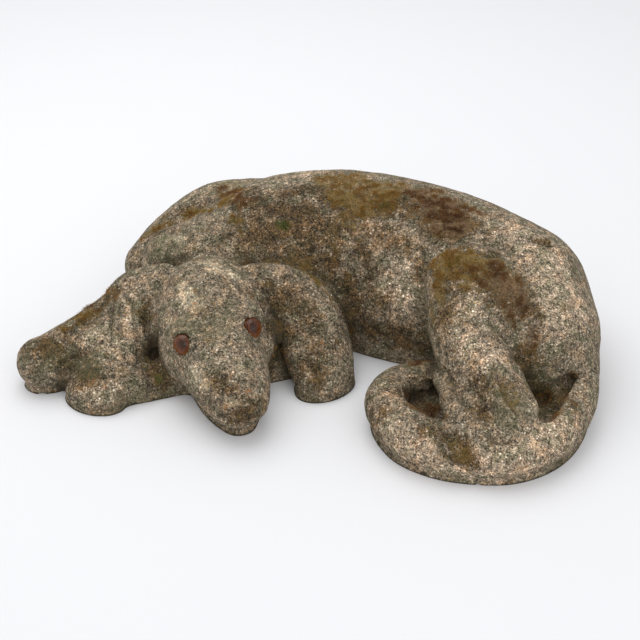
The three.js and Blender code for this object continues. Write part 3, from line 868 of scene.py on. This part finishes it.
def stone_material(sizes):
    """Cast stone with grains of several colours, weathered and overgrown."""
    recipe = Recipe("weathered_cast_stone", Roughness=0.93, Specular_IOR_Level=0.25)
    coarse, middling, fine = (recipe.grains(sizes.grain_size * share) for share in (1.0, 0.55, 0.3))
    speckles = recipe.range(recipe.noise(0.0034, 4, 0.7), 0.34, 0.66, -0.55, 0.55)
    clouds = recipe.range(recipe.noise(0.02, 4, 0.6), 0.32, 0.68, -0.42, 0.42)
    colour = fresh_stone(recipe, coarse, middling, fine)
    colour = weathered_and_shaded(recipe, colour, speckles, clouds)
    relief = stone_relief(recipe, coarse, middling, sizes.grain_relief)
    recipe.put(recipe.shader.inputs["Normal"], relief)
    return recipe.painted(mossy(recipe, colour, speckles, clouds))


class StoneSizes(bpy.types.PropertyGroup):
    """Sizes of the stone's finish."""

    net_size: FloatProperty(
        name="Net size", description="Spacing of the points of the stone's mesh",
        default=0.0027, min=0.002, unit="LENGTH",
    )
    wear_depth: FloatProperty(
        name="Wear depth", description="How deep rain has worn the face of the stone",
        default=0.0018, min=0.0, unit="LENGTH",
    )
    pit_depth: FloatProperty(
        name="Pit depth", description="Depth of the larger pits left by air in the casting",
        default=0.0020, min=0.0, unit="LENGTH",
    )
    crease_depth: FloatProperty(
        name="Crease depth", description="Depth of the creases between the toes and in the coat",
        default=0.0045, min=0.0, unit="LENGTH",
    )
    grain_size: FloatProperty(
        name="Grain size", description="Size of the coarse grains in the cast stone",
        default=0.0027, min=0.0005, unit="LENGTH",
    )
    grain_relief: FloatProperty(
        name="Grain relief", description="How far the grains stand out of the paste",
        default=0.0009, min=0.0, unit="LENGTH",
    )


class EyeSizes(bpy.types.PropertyGroup):
    """Sizes and colours of the glass eyes."""

    iris_depth: FloatProperty(
        name="Iris height", description="Height of the iris over the middle of the eye",
        default=0.003, unit="LENGTH",
    )
    iris_colour: FloatVectorProperty(
        name="Iris colour", description="Amber of the iris", default=(0.25, 0.085, 0.022),
        subtype="COLOR", size=3, min=0, max=1,
    )
    pupil_share: FloatProperty(
        name="Pupil share", description="Radius of the pupil as a share of the iris",
        default=0.26, min=0.1, max=0.9, subtype="FACTOR",
    )


class MossSizes(bpy.types.PropertyGroup):
    """Sizes of the moss."""

    blades: IntProperty(
        name="Blades", description="Number of moss blades", default=30000, min=100, max=48000,
    )
    blade_length: FloatProperty(
        name="Blade length", description="Length of the longest moss blades",
        default=0.0034, unit="LENGTH",
    )
    blade_width: FloatProperty(
        name="Blade width", description="Width of a moss blade at its foot",
        default=0.0006, unit="LENGTH",
    )


class StageSizes(bpy.types.PropertyGroup):
    """Floor and light of the studio."""

    floor_colour: FloatVectorProperty(
        name="Floor colour", description="Colour of the plain floor", default=(0.80, 0.80, 0.81),
        subtype="COLOR", size=3, min=0, max=1,
    )
    key_power: FloatProperty(
        name="Overhead light", description="Power of the large overhead light in watts", default=11.0,
    )
    fill_power: FloatProperty(
        name="Fill light", description="Power of the light at the front in watts", default=5.0,
    )


def air_holes(points):
    """Holes left by air in the casting, from 0 to 1: large ones in places and small ones in others."""
    large = pits(points, 11, 20) * ease(-0.1, 0.5, noise(points, 40, 14))
    small = pits(points, 7, 25) * ease(-0.2, 0.4, noise(points, 55, 16))
    return np.maximum(large, small)


def weather(points, normals, holes, creases, sizes):
    """Moves each point inwards along its normal by rain wear, air holes and creases, but not round
    the eyes."""
    worn = 0.5 + 0.25 * noise(points, 22, 11) + 0.15 * noise(points, 9, 12) + 0.1 * noise(points, 5, 13)
    depth = worn * sizes.wear_depth + holes * sizes.pit_depth + creases * sizes.crease_depth
    depth *= ease(1.0, 5.0, eye_gap(points))
    moved = points - normals * depth[:, None] / MM
    moved[:, 2] = np.where(points[:, 2] < 2, points[:, 2], moved[:, 2])
    return moved


def hollows(field, points, normals):
    """How shut in each point is, from 0 to 1: how much nearer than expected the stone or the ground
    still is after a step out along the normal, over several steps."""
    total = np.zeros(len(points))
    for step, weight in WAYS_OUT:
        out = points + normals * step
        room = np.minimum(field(out), np.maximum(out[:, 2], 0) + GROUND_ROOM)
        total += weight * np.clip(1 - room / step, 0, 1)
    return total


def stains(points, normals, under, shut, holes, drawn):
    """What the stone's material and the moss need of each point, as named values from 0 to 1."""
    damp = ease(0.4, 0.8, shut) * ease(-0.4, 0.4, noise(points, 18, 40)) * ~under
    behind = ease(0.1, 0.6, normals[:, 1])
    rained = ease(-0.1, 0.6, noise(points, 60, 47) + 0.6 * noise(points, 24, 48))
    algae = ease(0.0, 0.8, noise(points, 45, 41) + 0.4 * noise(points, 15, 42))
    gold, brown, green = drawn["gold"], drawn["brown"], drawn["green"]
    return {
        "moss": np.maximum.reduce([gold, brown, green, DAMP_SHARE * damp]),
        "moss_tone": np.clip(brown - 0.6 * gold + 0.4 * damp, 0, 1),
        "moss_green": green,
        # Grime, dull stone and rain stains, with painted shade in the folds that the grime strokes cover
        "grime_and_shade": np.maximum.reduce(
            [drawn["grime_and_shade"], DULL_SHARE * drawn["dull"], RAIN_SHARE * rained * behind]
        ),
        "algae": ALGAE_SHARE * algae,
        # Painted shade of the hollows, the creases, the air holes and the underside
        "hollow_shade": np.maximum.reduce([shut, CREASE_SHADE_SHARE * drawn["creases"], HOLE_SHADE_SHARE * holes]),
        **{name: drawn[name] for name in ("lichen", "rust", "pale")},
    }


class STATUE_OT_stone(bpy.types.Operator):
    """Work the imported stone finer, weather it and colour it"""

    bl_idname = "statue.stone"
    bl_label = "Stone"

    def execute(self, context):
        sizes = context.scene.statue_stone
        stone = even_copy(STONE_NODE, "stone_spaniel_weathered", sizes.net_size)
        start = rows_of(stone.data.vertices, "co") / MM + MIDDLE
        figure = make_figure()

        def field(at):
            return carve(figure, at)

        under = start[:, 2] < 0.5 * sizes.net_size / MM
        points = settle(field, start, under, FIRST_STEPS)
        lids = np.flatnonzero(eye_gap(points) < LID_REACH)
        points[lids] = settle(field, points[lids], under[lids], LID_STEPS)
        gradient = slope(field, points)[1]
        points[under, 2] = 0
        normals = unit(gradient)
        normals[under] = (0, 0, -1)
        # How shut in each point is sets its painted shade and its damp moss; the underside is wholly shut
        # in and gets the full painted shade
        shut = hollows(field, points, normals)
        shut[under] = 1
        holes = air_holes(points)
        drawn = {name: strokes_on(points, *kind) for name, kind in STROKES.items()}
        sides = np.where(under[:, None], 0, normals)
        worn = weather(points, sides, holes, drawn["creases"], sizes)
        mesh = stone.data
        mesh.vertices.foreach_set("co", ((worn - MIDDLE) * MM).ravel())
        mesh.polygons.foreach_set("use_smooth", np.ones(len(mesh.polygons), bool))
        mesh.update()
        for name, values in stains(points, normals, under, shut, holes, drawn).items():
            set_values(mesh, name, values)
        mesh.materials.clear()
        mesh.materials.append(stone_material(sizes))
        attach(stone, "root")
        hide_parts(STONE_NODE)
        return {"FINISHED"}


def turned(profile, count):
    """A profile of radius and height turned round the Z axis: x = r cos a and y = r sin a. Its first
    and last rows are on the axis, and each is one point."""
    profile = np.asarray(profile, float)
    angle = np.arange(count) * 2 * math.pi / count
    radius, height = profile[1:-1, 0, None], profile[1:-1, 1, None]
    rings = np.stack(
        [radius * np.cos(angle), radius * np.sin(angle), height + 0 * angle], axis=2
    ).reshape(-1, 3)
    points = np.vstack([rings, (0, 0, profile[0, 1]), (0, 0, profile[-1, 1])])
    here = np.arange(count)
    after = (here + 1) % count
    rows = (np.arange(len(profile) - 3) * count)[:, None]
    quads = np.stack([rows + here, rows + after, rows + count + after, rows + count + here], 2)
    last = (len(profile) - 3) * count
    first_pole = np.full(count, len(rings))
    fans = np.vstack([
        np.stack([first_pole, after, here], 1), np.stack([first_pole + 1, last + here, last + after], 1)
    ])
    return points, quads.reshape(-1, 4).tolist() + fans.tolist()


def arc(radius, start, end, count):
    """Rows of radius and height along a circle about the origin, from one angle to another."""
    angle = np.radians(np.linspace(start, end, count))
    return np.stack([radius * np.cos(angle), radius * np.sin(angle)], 1)


def look_along(way):
    """The turn that takes +Z to a direction."""
    return np.array(Vector(way).to_track_quat("Z", "Y").to_matrix())


def iris_material(sizes):
    """Painted iris: dark brown pupil, fibres from brown to amber, and a dark outer ring."""
    recipe = Recipe("painted_amber_iris", Roughness=0.8, Specular_IOR_Level=0.2)
    share, fibre = recipe.value("share"), recipe.value("fibre")
    amber = tuple(sizes.iris_colour)
    pupil = sizes.pupil_share
    colour = recipe.ramp(
        recipe.plus(share, recipe.range(fibre, -1, 1, -0.03, 0.03)),
        [
            (0.0, 0.040, 0.016, 0.008),
            (pupil, 0.050, 0.019, 0.009),
            (pupil + 0.3, amber[0] * 0.62, amber[1] * 0.58, amber[2] * 0.6),
            (0.8, *amber),
            (0.94, amber[0] * 0.8, amber[1] * 0.7, amber[2] * 0.7),
            (1.0, 0.09, 0.032, 0.012),
        ],
    )
    return recipe.painted(colour)


def glass_material():
    """Clear blown glass with a faint warm tint."""
    return Recipe(
        "clear_eye_glass", Base_Color=(1.0, 0.86, 0.72, 1), Roughness=0.04, IOR=1.36,
        Transmission_Weight=1.0,
    ).material


class STATUE_OT_eyes(bpy.types.Operator):
    """Make the glass eyes: a clear ball each, with a painted iris sealed in it"""

    bl_idname = "statue.eyes"
    bl_label = "Glass eyes"

    def execute(self, context):
        sizes = context.scene.statue_eyes
        iris_paint, glass = iris_material(sizes), glass_material()
        radius = eye_radius() * MM
        for side in EYES:
            turn, centre = look_along(eye_way(side)), (eye_centre(side) - MIDDLE) * MM
            core = radius - GLASS_OVER
            rim = math.degrees(math.asin(sizes.iris_depth / core))
            wide = core * math.cos(math.radians(rim))
            share = np.linspace(1, 0, IRIS_RINGS)[1:]
            bowl = np.stack([wide * share, sizes.iris_depth - IRIS_DIP * (1 - share**2)], 1)
            profile = np.vstack([arc(core, -90, rim, BALL_RINGS), bowl])
            points, faces = turned(profile, BALL_SIDES)
            iris = new_piece(f"{side}_iris", points @ turn.T + centre, faces, iris_paint)
            out = np.hypot(points[:, 0], points[:, 1]) / wide
            on_bowl = points[:, 2] > sizes.iris_depth - IRIS_DIP - 1e-5
            set_values(iris.data, "share", np.where(on_bowl, np.minimum(out, 1), PAINT_BEHIND))
            angle = np.arctan2(points[:, 1], points[:, 0])
            around = np.stack([np.cos(angle) * 9, np.sin(angle) * 9, out * 1.5], 1)
            set_values(iris.data, "fibre", noise(around, 1.0, 51))

            points, faces = turned(arc(radius, -90, 90, BALL_RINGS), BALL_SIDES)
            lens = new_piece(f"{side}_eye_glass", points @ turn.T + centre, faces, glass)
            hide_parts(f"{side}_glass_eye")
        return {"FINISHED"}


def moss_material():
    """Moss blades, from golden green to brown by their own tone."""
    recipe = Recipe("moss_blades", Roughness=0.9, Specular_IOR_Level=0.2)
    colour = recipe.ramp(
        recipe.value("tone"),
        [
            (0.0, 0.10, 0.14, 0.03), (0.14, 0.17, 0.14, 0.035), (0.32, 0.41, 0.23, 0.055),
            (0.5, 0.22, 0.11, 0.035), (0.72, 0.185, 0.085, 0.036), (1.0, 0.07, 0.04, 0.02),
        ],
    )
    return recipe.painted(colour)


def blades(feet, normals, lengths, width, random):
    """Moss blades as spikes: three corners round the foot, sunk a little, and a tip that leans at
    random out from the stone. Each is a closed four-sided body."""
    count = len(feet)
    lean = random.normal(size=(count, 3)) * BLADE_LEAN
    way = unit(normals + lean - normals * np.minimum((lean * normals).sum(1), 0)[:, None])
    side = unit(np.cross(way, random.normal(size=(count, 3))))
    other = np.cross(way, side)
    angle = np.arange(3) * 2 * math.pi / 3
    round_foot = side[:, None] * np.cos(angle)[:, None] + other[:, None] * np.sin(angle)[:, None]
    corners = (feet - BLADE_SUNK * normals)[:, None] + round_foot * width / 2
    tips = feet + way * lengths[:, None]
    points = np.concatenate([corners, tips[:, None]], 1).reshape(-1, 3)
    start = 4 * np.arange(count)[:, None, None]
    faces = (start + np.array([(0, 1, 3), (1, 2, 3), (2, 0, 3), (0, 2, 1)])).reshape(-1, 3)
    return points, faces.tolist()


class STATUE_OT_moss(bpy.types.Operator):
    """Plant blades of moss where the stone is mossy"""

    bl_idname = "statue.moss"
    bl_label = "Moss"

    def execute(self, context):
        sizes = context.scene.statue_moss
        mesh = bpy.data.objects["stone_spaniel_weathered"].data
        points = rows_of(mesh.vertices, "co")
        normals = rows_of(mesh.vertex_normals, "vector")
        moss, tone, green = (np.empty(len(points), np.float32) for _ in range(3))
        for name, values in (("moss", moss), ("moss_tone", tone), ("moss_green", green)):
            mesh.attributes[name].data.foreach_get("value", values)
        random = np.random.default_rng(7)
        figure = points / MM
        clumps = ease(-0.25, 0.45, noise(figure, 7, 61) + 0.5 * noise(figure, 3.5, 62))
        weight = np.where(points[:, 2] > MOSS_FROM, ease(0.15, 1.0, moss) * (0.12 + clumps), 0)
        chosen = random.choice(len(points), sizes.blades, p=weight / weight.sum())
        spread = random.normal(size=(sizes.blades, 3)) * MOSS_SPREAD
        away = (spread * normals[chosen]).sum(1)[:, None] * normals[chosen]
        feet = points[chosen] + spread - away
        lengths = sizes.blade_length * random.uniform(0.35, 1, sizes.blades) * (0.4 + 0.6 * clumps[chosen])
        tips, faces = blades(feet, normals[chosen], lengths, sizes.blade_width, random)
        tips = np.clip(tips, np.array(CAD_BOX[0]) + BOX_MARGIN, np.array(CAD_BOX[1]) - BOX_MARGIN)
        piece = new_piece("moss_blades", tips, faces, moss_material(), smooth=False)
        tufts = 0.16 * noise(figure, 9, 63) + 0.12 * noise(figure, 4, 64)
        own = (0.32 + 0.40 * tone - 0.28 * green + tufts)[chosen]
        own = np.clip(own + random.normal(size=sizes.blades) * 0.10, 0, 1)
        set_values(piece.data, "tone", np.repeat(own, 4))
        return {"FINISHED"}


class STATUE_OT_stage(bpy.types.Operator):
    """Set the plain floor, the soft lights and the camera"""

    bl_idname = "statue.stage"
    bl_label = "Studio"

    def execute(self, context):
        sizes = context.scene.statue_stage
        scene = context.scene
        corners = np.array([(-4, -4, 0), (4, -4, 0), (4, 4, 0), (-4, 4, 0)], float)
        mesh = bpy.data.meshes.new("studio_floor")
        mesh.from_pydata((corners - (0, 0, 0.0003)).tolist(), [], [(0, 1, 2, 3)])
        mesh.materials.append(
            Recipe("plain_floor", Base_Color=rgb(sizes.floor_colour), Roughness=0.7).material
        )
        in_scene("studio_floor", mesh)

        lights = [
            ("overhead_light", (-0.35, 0.45, 1.5), 1.6, sizes.key_power),
            ("front_light", (0.7, -1.5, 1.1), 1.4, sizes.fill_power),
        ]
        for name, place, size, power in lights:
            light = bpy.data.lights.new(name, "AREA")
            light.shape = "DISK"
            light.size = size
            light.energy = power
            lamp = in_scene(name, light)
            lamp.location = place
            lamp.rotation_euler = (Vector(place) - Vector(LOOK_AT)).to_track_quat("Z", "Y").to_euler()

        world = bpy.data.worlds.new("studio_air")
        world.use_nodes = True
        air = world.node_tree.nodes["Background"].inputs
        air["Color"].default_value = (0.97, 0.98, 1, 1)
        air["Strength"].default_value = 0.85
        scene.world = world
        scene.view_settings.view_transform = "Standard"

        data = bpy.data.cameras.new("photographer")
        data.lens, data.sensor_width = VIEW_LENS, VIEW_SENSOR
        camera = in_scene("photographer", data)
        back = Vector((0, -math.cos(VIEW_ELEVATION), math.sin(VIEW_ELEVATION)))
        camera.location = Vector(LOOK_AT) + back * VIEW_DISTANCE
        camera.rotation_euler = back.to_track_quat("Z", "Y").to_euler()
        scene.camera = camera
        return {"FINISHED"}


class STATUE_PT_panel(bpy.types.Panel):
    """Lists the statue's pieces and their sizes"""

    bl_idname = "STATUE_PT_panel"
    bl_label = "Garden Spaniel"
    bl_space_type = "VIEW_3D"
    bl_region_type = "UI"
    bl_category = "Garden Spaniel"

    def draw(self, context):
        for name in GROUPS:
            box = self.layout.box()
            group = getattr(context.scene, name)
            for key in group.__annotations__:
                box.prop(group, key)
            box.operator(name.replace("_", "."))


GROUPS = {
    "statue_stone": StoneSizes,
    "statue_eyes": EyeSizes,
    "statue_moss": MossSizes,
    "statue_stage": StageSizes,
}
CLASSES = (
    *GROUPS.values(), STATUE_OT_stone, STATUE_OT_eyes, STATUE_OT_moss, STATUE_OT_stage,
    STATUE_PT_panel,
)


def register():
    for one in CLASSES:
        bpy.utils.register_class(one)
    for name, group in GROUPS.items():
        setattr(bpy.types.Scene, name, PointerProperty(type=group))


def unregister():
    for name in GROUPS:
        delattr(bpy.types.Scene, name)
    for one in reversed(CLASSES):
        bpy.utils.unregister_class(one)


def main():
    register()
    bpy.ops.statue.stone()
    bpy.ops.statue.eyes()
    bpy.ops.statue.moss()
    bpy.ops.statue.stage()


if __name__ == "__main__":
    main()
